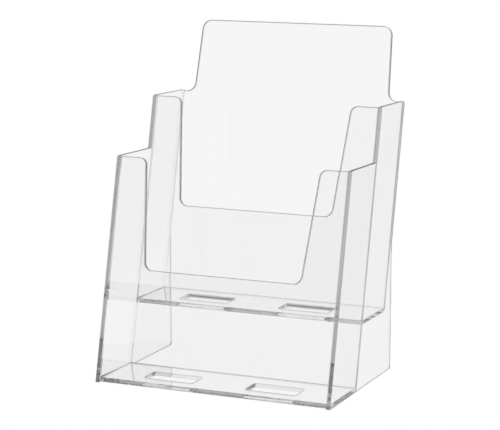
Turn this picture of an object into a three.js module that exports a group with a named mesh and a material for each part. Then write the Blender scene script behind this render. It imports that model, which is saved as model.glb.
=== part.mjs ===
// Two-tier literature rack, cemented from seven sheets of clear cast acrylic.
// Millimetres, +X to the right, +Y to the back, +Z up. The origin is on the table,
// under the middle of the rack's bounding box. Inside this file, y is measured
// from the line where the front panel's outer face meets the table.

import * as THREE from 'three';

// Driving dimensions
const width = 237; // over both side panels
const height = 326; // table to the top of the back panel
const sheet = 4; // thickness of every sheet
const bond = 0.3; // cement line between two sheets
const lean = THREE.MathUtils.degToRad(13.4); // panels lean back from the vertical
const fall = THREE.MathUtils.degToRad(1.4); // side panel tops drop towards the back
const lowerPitch = 65; // lower front panel's face to upper front panel's face
const upperPitch = 61.3; // upper front panel's face to the back panel's face
const baseDepth = 159.5; // side panels along the table
const lowerTop = 208.5; // top of the lower pocket, at its front
const upperTop = 257.5; // top of the upper pocket, at its front
const shelfTop = 63.6; // upper pocket's floor

const cutout = { depth: 105, topHalf: 87.9, bottomHalf: 78.3, earRadius: 7.5, bottomRadius: 8 };
const crest = { footHalf: 102.8, topHalf: 99.9, footRadius: 9, topRadius: 9.5 };
const slot = { width: 50, depth: 23.5, offset: 51.9, setback: 16, radius: 1.5 };
const corner = { heel: 3.5, kink: 3, rear: 1.2, front: 2.5, step: 2 }; // side panel radii
const arcSteps = 12; // straight steps in each rounded corner

// Derived sizes
const slope = Math.tan(lean);
const levelSheet = sheet / Math.cos(lean); // a leaning sheet, measured level
const innerHalf = width / 2 - sheet;
const panelHalf = innerHalf - bond;
const footOf = { front: 0, middle: lowerPitch, back: lowerPitch + upperPitch };
const backRearFoot = footOf.back + levelSheet;
const backLength = (height - sheet * Math.sin(lean)) / Math.cos(lean);
const overallDepth = backRearFoot + backLength * Math.sin(lean);
const shelfUnder = shelfTop - sheet;

// Distance up a panel, along its lean, at which its front face reaches a height.
function alongPanel(level) {
  return (level - sheet * Math.sin(lean)) / Math.cos(lean);
}

// A side panel's sloping top, from its front point back to a plane that leans from footY.
function meetSlopingTop(frontY, frontZ, footY) {
  const drop = Math.tan(fall);
  const z = (frontZ - (footY - frontY) * drop) / (1 + slope * drop);
  return [footY + z * slope, z];
}

// Adds a closed outline to a shape or path; each corner is [x, y, radius].
function roundedOutline(target, corners) {
  const points = corners.map(([x, y]) => new THREE.Vector2(x, y));
  corners.forEach(([, , radius = 0], i) => {
    const here = points[i];
    const before = points[(i + points.length - 1) % points.length];
    const after = points[(i + 1) % points.length];
    const from = before.clone().sub(here).normalize();
    const to = after.clone().sub(here).normalize();
    const half = Math.acos(THREE.MathUtils.clamp(from.dot(to), -1, 1)) / 2;
    if (radius === 0) {
      if (i === 0) target.moveTo(here.x, here.y);
      else target.lineTo(here.x, here.y);
      return;
    }
    const reach = radius / Math.tan(half);
    const start = here.clone().addScaledVector(from, reach);
    const end = here.clone().addScaledVector(to, reach);
    const middle = from.clone().add(to).normalize();
    const centre = here.clone().addScaledVector(middle, radius / Math.sin(half));
    const startAngle = Math.atan2(start.y - centre.y, start.x - centre.x);
    const endAngle = Math.atan2(end.y - centre.y, end.x - centre.x);
    if (i === 0) target.moveTo(start.x, start.y);
    else target.lineTo(start.x, start.y);
    const clockwise = from.x * to.y - from.y * to.x > 0;
    target.absarc(centre.x, centre.y, radius, startAngle, endAngle, clockwise);
  });
  target.closePath();
  return target;
}

function clearSheet(name, shape, tint) {
  const settings = { depth: sheet, bevelEnabled: false, curveSegments: arcSteps };
  const geometry = new THREE.ExtrudeGeometry(shape, settings);
  const material = new THREE.MeshStandardMaterial({
    color: tint,
    roughness: 0.06,
    metalness: 0,
    transparent: true,
    opacity: 0.35,
  });
  const mesh = new THREE.Mesh(geometry, material);
  mesh.name = name;
  return mesh;
}

// Stands a sheet on its rear bottom edge and leans it back.
function leaningPanel(name, corners, footY, tint) {
  const mesh = clearSheet(name, roundedOutline(new THREE.Shape(), corners), tint);
  mesh.rotation.x = Math.PI / 2 - lean;
  mesh.position.y = footY + levelSheet;
  return mesh;
}

// A pocket front: two ears beside a wide U cut-out that narrows downwards.
function pocketFront(name, topLevel, footY, tint) {
  const top = alongPanel(topLevel);
  const bottom = top - cutout.depth;
  const corners = [
    [-panelHalf, 0],
    [panelHalf, 0],
    [panelHalf, top],
    [cutout.topHalf, top, cutout.earRadius],
    [cutout.bottomHalf, bottom, cutout.bottomRadius],
    [-cutout.bottomHalf, bottom, cutout.bottomRadius],
    [-cutout.topHalf, top, cutout.earRadius],
    [-panelHalf, top],
  ];
  return leaningPanel(name, corners, footY, tint);
}

// The tall back: shoulders level with the side panels, and a crest that stands above them.
function backPanel(name, shoulderLevel, tint) {
  const foot = shelfUnder / Math.cos(lean);
  const shoulder = alongPanel(shoulderLevel);
  const corners = [
    [-panelHalf, foot],
    [panelHalf, foot],
    [panelHalf, shoulder],
    [crest.footHalf, shoulder, crest.footRadius],
    [crest.topHalf, backLength, crest.topRadius],
    [-crest.topHalf, backLength, crest.topRadius],
    [-crest.footHalf, shoulder, crest.footRadius],
    [-panelHalf, shoulder],
  ];
  return leaningPanel(name, corners, footOf.back, tint);
}

// Stepped profile of a side panel, as [y, z, radius] round from the front foot.
function sideProfile() {
  const lowerFront = [lowerTop * slope, lowerTop];
  const step = meetSlopingTop(...lowerFront, footOf.middle);
  const upperFront = [footOf.middle + upperTop * slope, upperTop];
  const upperRear = meetSlopingTop(...upperFront, backRearFoot);
  const kinkLevel = (baseDepth - backRearFoot) / slope;
  return [
    [0, 0],
    [baseDepth, 0, corner.heel],
    [baseDepth, kinkLevel, corner.kink],
    [...upperRear, corner.rear],
    [...upperFront, corner.front],
    [...step, corner.step],
    [...lowerFront, corner.front],
  ];
}

function sidePanel(name, innerX, tint) {
  const mesh = clearSheet(name, roundedOutline(new THREE.Shape(), sideProfile()), tint);
  mesh.rotation.set(Math.PI / 2, Math.PI / 2, 0); // profile into the Y-Z plane
  mesh.position.x = innerX;
  return mesh;
}

// A level sheet with two slots, its front and back edges cut to the panels' lean.
function slottedFloor(name, level, frontFace, rearFace, tint) {
  const front = frontFace + level * slope + bond;
  const rear = rearFace + level * slope - bond;
  const shape = roundedOutline(new THREE.Shape(), [
    [-panelHalf, front],
    [panelHalf, front],
    [panelHalf, rear],
    [-panelHalf, rear],
  ]);
  const slotFront = front + slot.setback;
  const slotRear = slotFront + slot.depth;
  for (const side of [-1, 1]) {
    const left = side * slot.offset - slot.width / 2;
    const right = left + slot.width;
    shape.holes.push(roundedOutline(new THREE.Path(), [
      [left, slotFront, slot.radius],
      [right, slotFront, slot.radius],
      [right, slotRear, slot.radius],
      [left, slotRear, slot.radius],
    ]));
  }
  const mesh = clearSheet(name, shape, tint);
  mitreEdges(mesh.geometry, front, rear);
  mesh.position.z = level;
  return mesh;
}

// Moves the top of both cut edges back, so that they lie along the leaning panels.
function mitreEdges(geometry, front, rear) {
  const position = geometry.attributes.position;
  for (let i = 0; i < position.count; i += 1) {
    const y = position.getY(i);
    const onEdge = Math.min(Math.abs(y - front), Math.abs(y - rear)) < bond / 2;
    if (onEdge && position.getZ(i) > sheet / 2) position.setY(i, y + sheet * slope);
  }
  geometry.computeVertexNormals();
}

const shoulderLevel = sideProfile()[3][1];
const frontRear = footOf.front + levelSheet;
const middleRear = footOf.middle + levelSheet;

const group = new THREE.Group();
group.add(
  sidePanel('left_side_panel', -width / 2, 0xe9eeef),
  sidePanel('right_side_panel', innerHalf, 0xe9eeef),
  pocketFront('lower_front_panel', lowerTop, footOf.front, 0xf1f4f5),
  pocketFront('upper_front_panel', upperTop, footOf.middle, 0xf1f4f5),
  backPanel('back_panel', shoulderLevel, 0xf4f6f7),
  slottedFloor('lower_floor', 0, frontRear, footOf.middle, 0xedf1f2),
  slottedFloor('upper_shelf', shelfUnder, middleRear, footOf.back, 0xedf1f2),
);
group.position.y = -overallDepth / 2;

export default group;
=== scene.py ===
from math import cos, radians, sin

import bmesh
import bpy
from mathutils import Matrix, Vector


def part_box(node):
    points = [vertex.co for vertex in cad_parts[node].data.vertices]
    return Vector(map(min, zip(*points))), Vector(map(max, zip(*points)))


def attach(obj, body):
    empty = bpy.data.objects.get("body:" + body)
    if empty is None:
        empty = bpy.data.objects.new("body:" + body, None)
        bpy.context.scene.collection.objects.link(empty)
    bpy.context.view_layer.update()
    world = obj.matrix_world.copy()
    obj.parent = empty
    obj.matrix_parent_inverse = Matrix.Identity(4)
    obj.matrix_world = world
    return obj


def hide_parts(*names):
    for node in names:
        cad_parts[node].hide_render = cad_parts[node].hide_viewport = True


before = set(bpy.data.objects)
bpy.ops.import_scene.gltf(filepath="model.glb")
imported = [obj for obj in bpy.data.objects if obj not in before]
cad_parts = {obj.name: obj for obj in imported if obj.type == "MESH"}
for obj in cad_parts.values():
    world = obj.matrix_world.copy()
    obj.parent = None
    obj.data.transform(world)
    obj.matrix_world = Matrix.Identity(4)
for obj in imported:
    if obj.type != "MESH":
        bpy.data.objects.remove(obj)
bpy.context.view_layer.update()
mm = 0.001

sidePanels = ["left_side_panel", "right_side_panel"]
leaningPanels = ["lower_front_panel", "upper_front_panel", "back_panel"]
floors = ["lower_floor", "upper_shelf"]
print("frame loaded:", len(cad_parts), "nodes")


def linear(code):
    # sRGB hex to linear, as the shader sockets want it
    parts = [int(code[i:i + 2], 16) / 255 for i in (1, 3, 5)]
    return tuple(c / 12.92 if c <= 0.04045 else ((c + 0.055) / 1.055) ** 2.4 for c in parts) + (1.0,)


def addNode(tree, kind, inputs=None, **settings):
    node = tree.nodes.new(kind)
    for name, value in settings.items():
        setattr(node, name, value)
    for socket, value in (inputs or {}).items():
        if isinstance(value, bpy.types.NodeSocket):
            tree.links.new(value, node.inputs[socket])
        else:
            node.inputs[socket].default_value = value
    return node


def calculate(tree, operation, *values):
    return addNode(tree, "ShaderNodeMath", dict(enumerate(values)), operation=operation).outputs["Value"]


def ramp(tree, value, start, end, low=0.0, high=1.0):
    return addNode(tree, "ShaderNodeMapRange", {
        "Value": value, "From Min": start, "From Max": end,
        "To Min": low, "To Max": high}).outputs["Result"]


def emptyMaterial(name):
    material = bpy.data.materials.new(name)
    material.use_nodes = True
    material.node_tree.nodes.clear()
    return material, material.node_tree


noiseRange = (0.3, 0.7)  # noise values seldom lie outside this


def pattern(tree, size, detail=2.0):
    # Noise fixed to the piece, with features of that many mm
    place = addNode(tree, "ShaderNodeTexCoord").outputs["Object"]
    return addNode(tree, "ShaderNodeTexNoise", {
        "Vector": place, "Scale": 1 / (size * mm), "Detail": detail}).outputs["Fac"]


acrylic = {"ior": 1.49, "tint": "#fefefe", "haze": 0.02, "hazeSize": 45.0, "hazeRange": (0.35, 0.75)}


def clearPlastic(tree, look):
    # What the finishes share: light goes through, bent by the plastic
    shader = addNode(tree, "ShaderNodeBsdfPrincipled", {
        "IOR": acrylic["ior"], "Transmission Weight": 1.0, **look})
    addNode(tree, "ShaderNodeOutputMaterial", {"Surface": shader.outputs["BSDF"]})


def castAcrylicFace():
    # Clear as glass, with faint wide patches of haze from handling
    material, tree = emptyMaterial("cast acrylic, polished face")
    haze = ramp(tree, pattern(tree, acrylic["hazeSize"]), *acrylic["hazeRange"], 0.0, acrylic["haze"])
    clearPlastic(tree, {"Base Color": linear(acrylic["tint"]), "Roughness": haze})
    return material


# The edge tints are painted shade: greys that darken each edge the way the dim room seen along the sheet
# does, sawn darkest; the roughness is the cut's own
edges = {  # marks are the size of the cutter's ripple in mm
    "polished": {"tint": "#e4e4e4", "roughness": (0.03, 0.09), "marks": 3.0},
    "milled": {"tint": "#fafafa", "roughness": (0.02, 0.07), "marks": 3.0},
    "scraped": {"tint": "#a0a0a0", "roughness": (0.08, 0.18), "marks": 2.0},
    "sawn": {"tint": "#6c6c6c", "roughness": (0.25, 0.55), "marks": 1.2},
}


def acrylicEdgeWithPaintedShade(finish):
    # Cutter and scraper marks leave an edge duller than the cast face; its grey tint is painted shade,
    # darkening the edge as the dim room seen along the sheet would
    look = edges[finish]
    material, tree = emptyMaterial("cast acrylic, " + finish + " edge")
    rough = ramp(tree, pattern(tree, look["marks"]), *noiseRange, *look["roughness"])
    clearPlastic(tree, {"Base Color": linear(look["tint"]), "Roughness": rough})
    return material


weld = {"clear": "#fafafa", "cloudy": "#eeeeee", "cloudSize": 7.0, "cloudRange": (0.40, 0.56)}


def solventWeld():
    # The two sheets have become one here, so light goes on without a bend or a reflection,
    # dimmed in cloudy patches where the cement ran thin
    material, tree = emptyMaterial("solvent weld in acrylic")
    tone = addNode(tree, "ShaderNodeValToRGB", {"Fac": pattern(tree, weld["cloudSize"])})
    for stop, position, colour in zip(tone.color_ramp.elements, weld["cloudRange"], ("cloudy", "clear")):
        stop.position = position
        stop.color = linear(weld[colour])
    clearPlastic(tree, {"Base Color": tone.outputs["Color"], "IOR": 1.0, "Roughness": 0.0})
    return material


hardened = {"tint": "#e4e4e4", "roughness": 0.08, "rippleSize": 1.5, "rippleHeight": 0.2, "strength": 0.4}


def setCement():
    # Cement that squeezed out and set: the same clear plastic, rippled where it shrank
    material, tree = emptyMaterial("set acrylic cement")
    bump = addNode(tree, "ShaderNodeBump", {
        "Height": pattern(tree, hardened["rippleSize"], detail=1.0), "Strength": hardened["strength"],
        "Distance": hardened["rippleHeight"] * mm})
    clearPlastic(tree, {
        "Base Color": linear(hardened["tint"]), "Roughness": hardened["roughness"],
        "Normal": bump.outputs["Normal"]})
    return material


faceFinish = castAcrylicFace()
edgeFinishesWithPaintedShade = {finish: acrylicEdgeWithPaintedShade(finish) for finish in edges}
weldFinish = solventWeld()
cementFinish = setCement()
print("materials made:", len(bpy.data.materials))

# Each butting sheet is cemented edge-on to the flats of its holders. A filled joint is welded
# right through; in a film joint only the corners hold, with a thin film of air between.
joints = {
    "lower_front_panel": {"left_side_panel": "film", "right_side_panel": "filled"},
    "upper_front_panel": {"left_side_panel": "film", "right_side_panel": "filled"},
    "back_panel": {"left_side_panel": "film", "right_side_panel": "film"},
    "lower_floor": {"left_side_panel": "filled", "right_side_panel": "filled",
                    "lower_front_panel": "filled", "upper_front_panel": "film"},
    "upper_shelf": {"left_side_panel": "filled", "right_side_panel": "filled",
                    "upper_front_panel": "filled", "back_panel": "filled"},
}
filleted = ["upper_front_panel"]  # sheets whose welds have a fillet on the rear face
sheetLooks = [  # rounding is the radius in mm that the scraper leaves on open edges
    (sidePanels, {"rounding": 0.4, "edge": "polished"}),
    (leaningPanels, {"rounding": 0.9, "edge": "scraped"}),
    (floors, {"rounding": 0.3, "edge": "milled"}),
]
sheetForm = {
    "steps": 4,  # faces round an arris
    "weldGap": 0.5,  # mm between a butting end and its holder, at most
    "rim": 1.0,  # mm at each side of a joint that the cement doesn't reach
    "arris": 30,  # degrees between two faces from which their edge is rounded
    "crease": 26,  # degrees between two faces from which their edge looks sharp
    "coplanar": 1,  # degrees between the facets of one flat face, at most
    "merge": 0.01, "cut": 0.02, "plane": 0.05, "foot": 1.0,  # tolerances in mm
}
parallel = 0.999  # cosine above which two directions count as one
upright = 0.9  # cosine above which a face counts as looking up or down
faceSlot, edgeSlot, weldSlot, sawnShadedSlot, filmSlot = 0, 1, 2, 3, 4  # film: the butting end in a film joint


def sheetBlank(node):
    # The sheet's plain form, with its flat faces whole; feet and side panel tops are left sawn, and the
    # sawn edge's dark grey tint is painted shade there
    form = bmesh.new()
    form.from_mesh(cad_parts[node].data)
    bmesh.ops.remove_doubles(form, verts=form.verts, dist=sheetForm["merge"] * mm)
    bmesh.ops.dissolve_limit(form, angle_limit=radians(sheetForm["coplanar"]),
                             verts=form.verts, edges=form.edges)
    form.normal_update()
    through = max(form.faces, key=lambda f: f.calc_area()).normal.copy()
    for face in form.faces:
        isFlat = abs(face.normal.dot(through)) > parallel
        isFoot = face.normal.z < -upright and face.calc_center_median().z < sheetForm["foot"] * mm
        isSideTop = face.normal.z > upright and node in sidePanels
        if isFlat:
            face.material_index = faceSlot
        else:
            face.material_index = sawnShadedSlot if isFoot or isSideTop else edgeSlot
    return form


def buttEnds(form, plane, normal):
    # Edge faces of a butting sheet that lie against the holder's plane
    near = sheetForm["weldGap"] * mm
    return [f for f in form.faces
            if f.material_index != faceSlot and abs(f.normal.dot(normal)) > parallel
            and abs((f.calc_center_median() - plane).dot(normal)) < near]


def footprintsOn(holder, butting, kind, hasFillet):
    # Where a butting sheet meets its holder's flats, and how far the cement reaches there
    found = []
    for flat in [f for f in holder.faces if f.material_index == faceSlot]:
        plane, normal = flat.calc_center_median(), flat.normal.copy()
        for end in buttEnds(butting, plane, normal):
            corners = [v.co - normal * (v.co - plane).dot(normal) for v in end.verts]
            noteSeams(corners, hasFillet)
            end.material_index = weldSlot if kind == "filled" else filmSlot
            if kind == "filled":
                found.append((withoutRim(corners), plane, normal))
    return found


def withoutRim(corners):
    # The weld's footprint, narrower by the rim that the cement doesn't reach
    sides = [corners[(i + 1) % len(corners)] - corner for i, corner in enumerate(corners)]
    across = min(sides, key=lambda side: side.length).normalized()
    middle = sum(corners, corners[0] * 0) / len(corners)
    rim = sheetForm["rim"] * mm
    return [c - across * (rim if (c - middle).dot(across) > 0 else -rim) for c in corners]


cement = {  # lengths in mm
    "thin": {"radius": 0.2, "inset": 0.35},  # bead that stayed inside the joint
    "fillet": {"radius": 0.6, "inset": -0.4},  # bead that stands in the inside corner
    "endGap": 1.5, "shortest": 20.0,  # bare length at each end, and the shortest side with a bead
    "step": 3.0, "unevenness": 0.5, "swellSize": 9.0, "sides": 8,
    "bubbleRadius": 0.2, "bubbleShare": 0.06, "smallestBubble": 0.5, "seed": 7,
}
seams = {"thin": [], "fillet": []}


def noteSeams(corners, hasFillet):
    # The long sides of a joint, moved by the bead's inset and cleared at their ends
    middle = sum(corners, corners[0] * 0) / len(corners)
    for i, start in enumerate(corners):
        end = corners[(i + 1) % len(corners)]
        along = (end - start).normalized()
        if (end - start).length < cement["shortest"] * mm:
            continue
        inward = (middle - start) - along * (middle - start).dot(along)
        kind = "fillet" if hasFillet and inward.y < 0 else "thin"
        shift = inward.normalized() * cement[kind]["inset"] * mm
        gap = along * cement["endGap"] * mm
        seams[kind].append((start + shift + gap, end + shift - gap))


def inside(point, corners, normal):
    turns = []
    for i, corner in enumerate(corners):
        along = corners[(i + 1) % len(corners)] - corner
        turns.append(along.cross(point - corner).dot(normal))
    return min(turns) > 0 or max(turns) < 0


def cutFootprint(holder, corners, plane, normal):
    # Splits the holder's flat along the footprint's sides and gives the part within to the weld
    def onPlane():
        return [f for f in holder.faces
                if f.material_index == faceSlot and f.normal.dot(normal) > parallel
                and abs((f.calc_center_median() - plane).dot(normal)) < sheetForm["plane"] * mm]
    for i, corner in enumerate(corners):
        across = (corners[(i + 1) % len(corners)] - corner).cross(normal).normalized()
        flats = onPlane()
        lines = list(dict.fromkeys(e for f in flats for e in f.edges))
        points = list(dict.fromkeys(v for f in flats for v in f.verts))
        bmesh.ops.bisect_plane(holder, geom=flats + lines + points, dist=sheetForm["cut"] * mm,
                               plane_co=corner, plane_no=across)
    for face in onPlane():
        if inside(face.calc_center_median(), corners, normal):
            face.material_index = weldSlot


def roundEdges(form, look):
    # A scraper takes the arris off every cut edge that stays in the open
    exposed = [e for e in form.edges if e.calc_face_angle(0) > radians(sheetForm["arris"])
               and all(f.material_index in (faceSlot, edgeSlot) for f in e.link_faces)]
    bmesh.ops.bevel(form, geom=exposed, offset=look["rounding"] * mm, segments=sheetForm["steps"],
                    profile=0.5, affect="EDGES", clamp_overlap=False, material=edgeSlot)


def meshInOrder(name, form):
    # The cuts leave points and faces in an order that varies from run to run, so both are sorted
    mesh = bpy.data.meshes.new(name)
    points = sorted(form.verts, key=lambda v: tuple(v.co))
    number = {v: i for i, v in enumerate(points)}
    faces = [([number[v] for v in face.verts], face.material_index) for face in form.faces]
    faces.sort(key=lambda face: sorted(face[0]))
    mesh.from_pydata([v.co for v in points], [], [ring for ring, slot in faces])
    mesh.polygons.foreach_set("material_index", [slot for ring, slot in faces])
    form.free()
    return mesh


def finishSheet(node, form, look):
    mesh = meshInOrder(node + "_sheet", form)
    # The sawn edge's dark tint is painted shade on the feet and the side panel tops
    sawnEdgeWithPaintedShade, filmFinish = edgeFinishesWithPaintedShade["sawn"], edgeFinishesWithPaintedShade["milled"]
    for finish in (faceFinish, edgeFinishesWithPaintedShade[look["edge"]], weldFinish, sawnEdgeWithPaintedShade, filmFinish):
        mesh.materials.append(finish)
    mesh.set_sharp_from_angle(angle=radians(sheetForm["crease"]))
    for face in mesh.polygons:
        face.use_smooth = face.material_index == edgeSlot  # flats stay true, so they don't warp the view
    piece = bpy.data.objects.new(node + "_sheet", mesh)
    bpy.context.scene.collection.objects.link(piece)
    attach(piece, "root")
    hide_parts(node)


blanks = {name: sheetBlank(name) for name in sidePanels + leaningPanels + floors}
footprints = {name: [] for name in blanks}
for name, holders in joints.items():
    for holder, kind in holders.items():
        footprints[holder] += footprintsOn(blanks[holder], blanks[name], kind, name in filleted)
for group, look in sheetLooks:
    for name in group:
        roundEdges(blanks[name], look)
        for corners, plane, normal in footprints[name]:
            cutFootprint(blanks[name], corners, plane, normal)
        finishSheet(name, blanks[name], look)
print("sheets made:", len(blanks), "with", sum(len(found) for found in footprints.values()), "welds")


def beadTree():
    # A thin uneven bead along each seam, with a few bubbles caught in it
    tree = bpy.data.node_groups.new("cement bead", "GeometryNodeTree")
    kinds = {"Seam": "Geometry", "Bead Radius": "Float", "Step": "Float", "Unevenness": "Float",
             "Bubble Radius": "Float", "Bubble Share": "Float", "Seed": "Int", "Finish": "Material"}
    for name, kind in kinds.items():
        tree.interface.new_socket(name, in_out="INPUT", socket_type="NodeSocket" + kind)
    tree.interface.new_socket("Beads", in_out="OUTPUT", socket_type="NodeSocketGeometry")
    given = addNode(tree, "NodeGroupInput").outputs
    line = addNode(tree, "GeometryNodeMeshToCurve", {"Mesh": given["Seam"]}).outputs["Curve"]
    line = addNode(tree, "GeometryNodeResampleCurve", {"Curve": line, "Length": given["Step"]},
                   mode="LENGTH").outputs["Curve"]
    wave = addNode(tree, "ShaderNodeTexNoise", {
        "W": given["Seed"], "Scale": 1 / (cement["swellSize"] * mm)},
        noise_dimensions="4D").outputs["Fac"]
    swell = ramp(tree, wave, *noiseRange, calculate(tree, "SUBTRACT", 1.0, given["Unevenness"]))
    ring = addNode(tree, "GeometryNodeCurvePrimitiveCircle", {
        "Resolution": cement["sides"], "Radius": given["Bead Radius"]})
    tube = addNode(tree, "GeometryNodeCurveToMesh", {
        "Curve": line, "Profile Curve": ring.outputs["Curve"], "Scale": swell,
        "Fill Caps": True}).outputs["Mesh"]
    # Random Value has a set of sockets for each data type, so these go by number
    chosen = addNode(tree, "FunctionNodeRandomValue", {
        "Probability": given["Bubble Share"], "Seed": given["Seed"]}, data_type="BOOLEAN")
    size = addNode(tree, "FunctionNodeRandomValue", {
        2: cement["smallestBubble"], 3: 1.0, "Seed": given["Seed"]}, data_type="FLOAT")
    ball = addNode(tree, "GeometryNodeMeshIcoSphere", {
        "Radius": given["Bubble Radius"], "Subdivisions": 2})
    bubbles = addNode(tree, "GeometryNodeInstanceOnPoints", {
        "Points": line, "Selection": chosen.outputs[3], "Instance": ball.outputs["Mesh"],
        "Scale": size.outputs[1]}).outputs["Instances"]
    both = addNode(tree, "GeometryNodeJoinGeometry")
    tree.links.new(tube, both.inputs[0])
    tree.links.new(bubbles, both.inputs[0])
    solid = addNode(tree, "GeometryNodeRealizeInstances", {"Geometry": both.outputs["Geometry"]})
    smooth = addNode(tree, "GeometryNodeSetShadeSmooth", {"Geometry": solid.outputs["Geometry"]})
    coated = addNode(tree, "GeometryNodeSetMaterial", {
        "Geometry": smooth.outputs["Geometry"], "Material": given["Finish"]})
    addNode(tree, "NodeGroupOutput", {"Beads": coated.outputs["Geometry"]})
    return tree


def cementBeads(tree, kind):
    lines = bpy.data.meshes.new("seam_lines")
    points = [point for seam in seams[kind] for point in seam]
    lines.from_pydata(points, [(i, i + 1) for i in range(0, len(points), 2)], [])
    guide = bpy.data.objects.new("seam_lines", lines)
    bpy.context.scene.collection.objects.link(guide)
    modifier = guide.modifiers.new("bead", "NODES")
    modifier.node_group = tree
    chosen = {"Bead Radius": cement[kind]["radius"] * mm, "Step": cement["step"] * mm,
              "Unevenness": cement["unevenness"], "Bubble Radius": cement["bubbleRadius"] * mm,
              "Bubble Share": cement["bubbleShare"], "Seed": cement["seed"], "Finish": cementFinish}
    for socket in tree.interface.items_tree:
        if socket.name in chosen:
            modifier[socket.identifier] = chosen[socket.name]
    graph = bpy.context.evaluated_depsgraph_get()
    mesh = bpy.data.meshes.new_from_object(guide.evaluated_get(graph))
    bpy.data.objects.remove(guide)
    beads = bpy.data.objects.new("cement_" + kind, mesh)
    bpy.context.scene.collection.objects.link(beads)
    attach(beads, "root")
    print("cement made:", kind, len(seams[kind]), "seams,", len(mesh.polygons), "faces")


cementTree = beadTree()
for kind in seams:
    cementBeads(cementTree, kind)

view = {  # lens in mm, angles in degrees, the rest in m
    "lens": 140.84, "place": (0.7313, -1.6762, 0.4876), "yaw": 23.72, "pitch": 10.43, "farthest": 50,
}
camera = bpy.data.objects.new("camera", bpy.data.cameras.new("camera"))
camera.data.lens = view["lens"]
camera.data.clip_end = view["farthest"]
camera.location = view["place"]
camera.rotation_euler = (radians(90 - view["pitch"]), 0, radians(view["yaw"]))
bpy.context.scene.collection.objects.link(camera)
bpy.context.scene.camera = camera
print("camera made")

# Tones of the room, where 1 is paper white. What is seen straight through the sheets is white all
# round. What is only seen by reflection inside them is a dimmer room: one white card behind the
# rack, black flags beside it, grey walls in front. Long light-pipe paths end in an even grey.
studio = {
    "paper": 0.962, "walls": 0.49, "flags": 0.03, "ceiling": 0.10, "steep": 0.15,
    "piped": 0.32, "pipedShare": 0.5, "pipedFrom": 3,  # reflections after which a path is a pipe
    # floorSide and contact are painted tones on the floor: dimmer beside the rack in reflections, and
    # painted shadow right under the standing sheets
    "floorSide": 0.76, "contact": 0.6, "floorReach": 6.0, "floorGap": 0.3,  # reach in m, gap in mm
    "cardHalfWidth": 30, "flagHalfWidth": 110, "cardTop": 30, "softness": 10,  # degrees
}
forward = (-sin(radians(view["yaw"])), cos(radians(view["yaw"])), 0)


def blend(tree, share, first, second):
    return addNode(tree, "ShaderNodeMix", {"Factor": share, "A": first, "B": second},
                   data_type="FLOAT").outputs["Result"]


def sector(tree, vector, halfWidth):
    # 1 within that many degrees of the direction behind the rack, 0 elsewhere
    flat = addNode(tree, "ShaderNodeVectorMath", {0: vector, 1: (1, 1, 0)}, operation="MULTIPLY")
    flat = addNode(tree, "ShaderNodeVectorMath", {0: flat.outputs["Vector"]}, operation="NORMALIZE")
    ahead = addNode(tree, "ShaderNodeVectorMath", {0: flat.outputs["Vector"], 1: forward},
                    operation="DOT_PRODUCT").outputs["Value"]
    return ramp(tree, ahead, cos(radians(halfWidth + studio["softness"])), cos(radians(halfWidth)))


def byPath(tree, straight, once):
    # The tone for a ray by how it got here: direct, straight through, reflected, or piped
    ray = addNode(tree, "ShaderNodeLightPath").outputs
    isReflected = calculate(tree, "GREATER_THAN", ray["Glossy Depth"], 0.5)
    isPiped = calculate(tree, "GREATER_THAN", ray["Glossy Depth"], studio["pipedFrom"] - 0.5)
    piped = blend(tree, studio["pipedShare"], once, studio["piped"])
    tone = blend(tree, isReflected, straight, once)
    tone = blend(tree, isPiped, tone, piped)
    return blend(tree, ray["Is Camera Ray"], tone, 1.0)


def studioWorld():
    world = bpy.data.worlds.new("white studio")
    bpy.context.scene.world = world
    world.use_nodes = True
    tree = world.node_tree
    tree.nodes.clear()
    toward = addNode(tree, "ShaderNodeTexCoord").outputs["Generated"]
    height = addNode(tree, "ShaderNodeSeparateXYZ", {"Vector": toward}).outputs["Z"]
    cardTop = studio["cardTop"]
    low = ramp(tree, height, sin(radians(cardTop + studio["softness"])), sin(radians(cardTop)))
    straight = blend(tree, low, studio["steep"], studio["paper"])
    sides = blend(tree, sector(tree, toward, studio["flagHalfWidth"]), studio["walls"], studio["flags"])
    sides = blend(tree, sector(tree, toward, studio["cardHalfWidth"]), sides, studio["paper"])
    once = blend(tree, low, studio["ceiling"], sides)
    glow = addNode(tree, "ShaderNodeBackground", {
        "Color": (1, 1, 1, 1), "Strength": byPath(tree, straight, once)})
    addNode(tree, "ShaderNodeOutputWorld", {"Surface": glow.outputs["Background"]})


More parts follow.
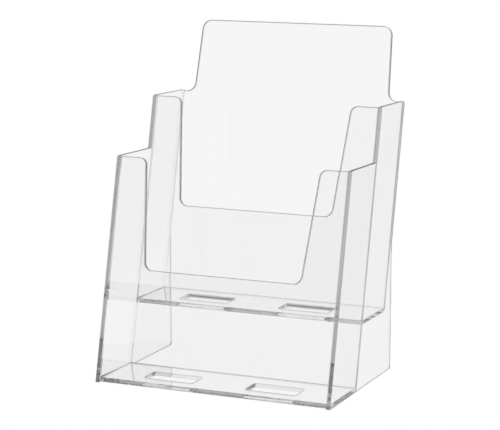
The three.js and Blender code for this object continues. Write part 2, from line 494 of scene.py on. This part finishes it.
def paintedShadowStrips(tree, place):
    # 1 right under the standing sheets: the strips where the floor gets a painted shadow, as little light
    #                                    gets there
    split = addNode(tree, "ShaderNodeSeparateXYZ", {"Vector": place}).outputs
    side = calculate(tree, "ABSOLUTE", split["X"])
    low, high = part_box("right_side_panel")
    half = (high.x - low.x) / 2
    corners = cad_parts["right_side_panel"].data.vertices
    base = [v.co.y for v in corners if v.co.z < sheetForm["foot"] * mm]
    front, rear = min(base), max(base)
    strips = [(side, low.x + half, half, split["Y"], (front + rear) / 2, (rear - front) / 2)]
    for foot in leaningPanels[:2]:
        strips.append((split["Y"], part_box(foot)[0].y + half, half, side, low.x / 2, low.x / 2))
    total = 0.0
    for across, middle, width, along, centre, reach in strips:
        isWithin = calculate(tree, "COMPARE", across, middle, width)
        isAlong = calculate(tree, "COMPARE", along, centre, reach)
        total = calculate(tree, "MAXIMUM", total, calculate(tree, "MULTIPLY", isWithin, isAlong))
    return total


def whiteFloor():
    mesh = bpy.data.meshes.new("floor")
    reach = studio["floorReach"]
    level = -studio["floorGap"] * mm
    corners = [(-reach, -reach), (reach, -reach), (reach, reach), (-reach, reach)]
    mesh.from_pydata([(x, y, level) for x, y in corners], [], [(0, 1, 2, 3)])
    floor = bpy.data.objects.new("floor", mesh)
    bpy.context.scene.collection.objects.link(floor)
    material, tree = emptyMaterial("white floor, glowing, with painted shadow and light")
    place = addNode(tree, "ShaderNodeTexCoord").outputs["Object"]
    inPaintedShadow = paintedShadowStrips(tree, place)
    # Seen straight, the floor glows paper white, with painted shadow in the strips under the sheets
    straight = blend(tree, inPaintedShadow, studio["paper"], studio["contact"])
    # In reflections the floor is painted light: paper white behind the rack, dimmer at its sides
    once = blend(tree, sector(tree, place, studio["cardHalfWidth"]), studio["floorSide"], studio["paper"])
    once = blend(tree, inPaintedShadow, once, studio["contact"])
    glow = addNode(tree, "ShaderNodeEmission", {
        "Color": (1, 1, 1, 1), "Strength": byPath(tree, straight, once)})
    addNode(tree, "ShaderNodeOutputMaterial", {"Surface": glow.outputs["Emission"]})
    mesh.materials.append(material)


studioWorld()
whiteFloor()
print("studio made")

# Light crosses many faces here and pipes along the sheets, so paths are long and unclamped
bounces = 160
scene = bpy.context.scene
scene.view_settings.view_transform = "Standard"
scene.cycles.max_bounces = bounces
scene.cycles.transmission_bounces = bounces
scene.cycles.glossy_bounces = bounces
scene.cycles.caustics_refractive = True
scene.cycles.caustics_reflective = True
scene.cycles.sample_clamp_indirect = 0
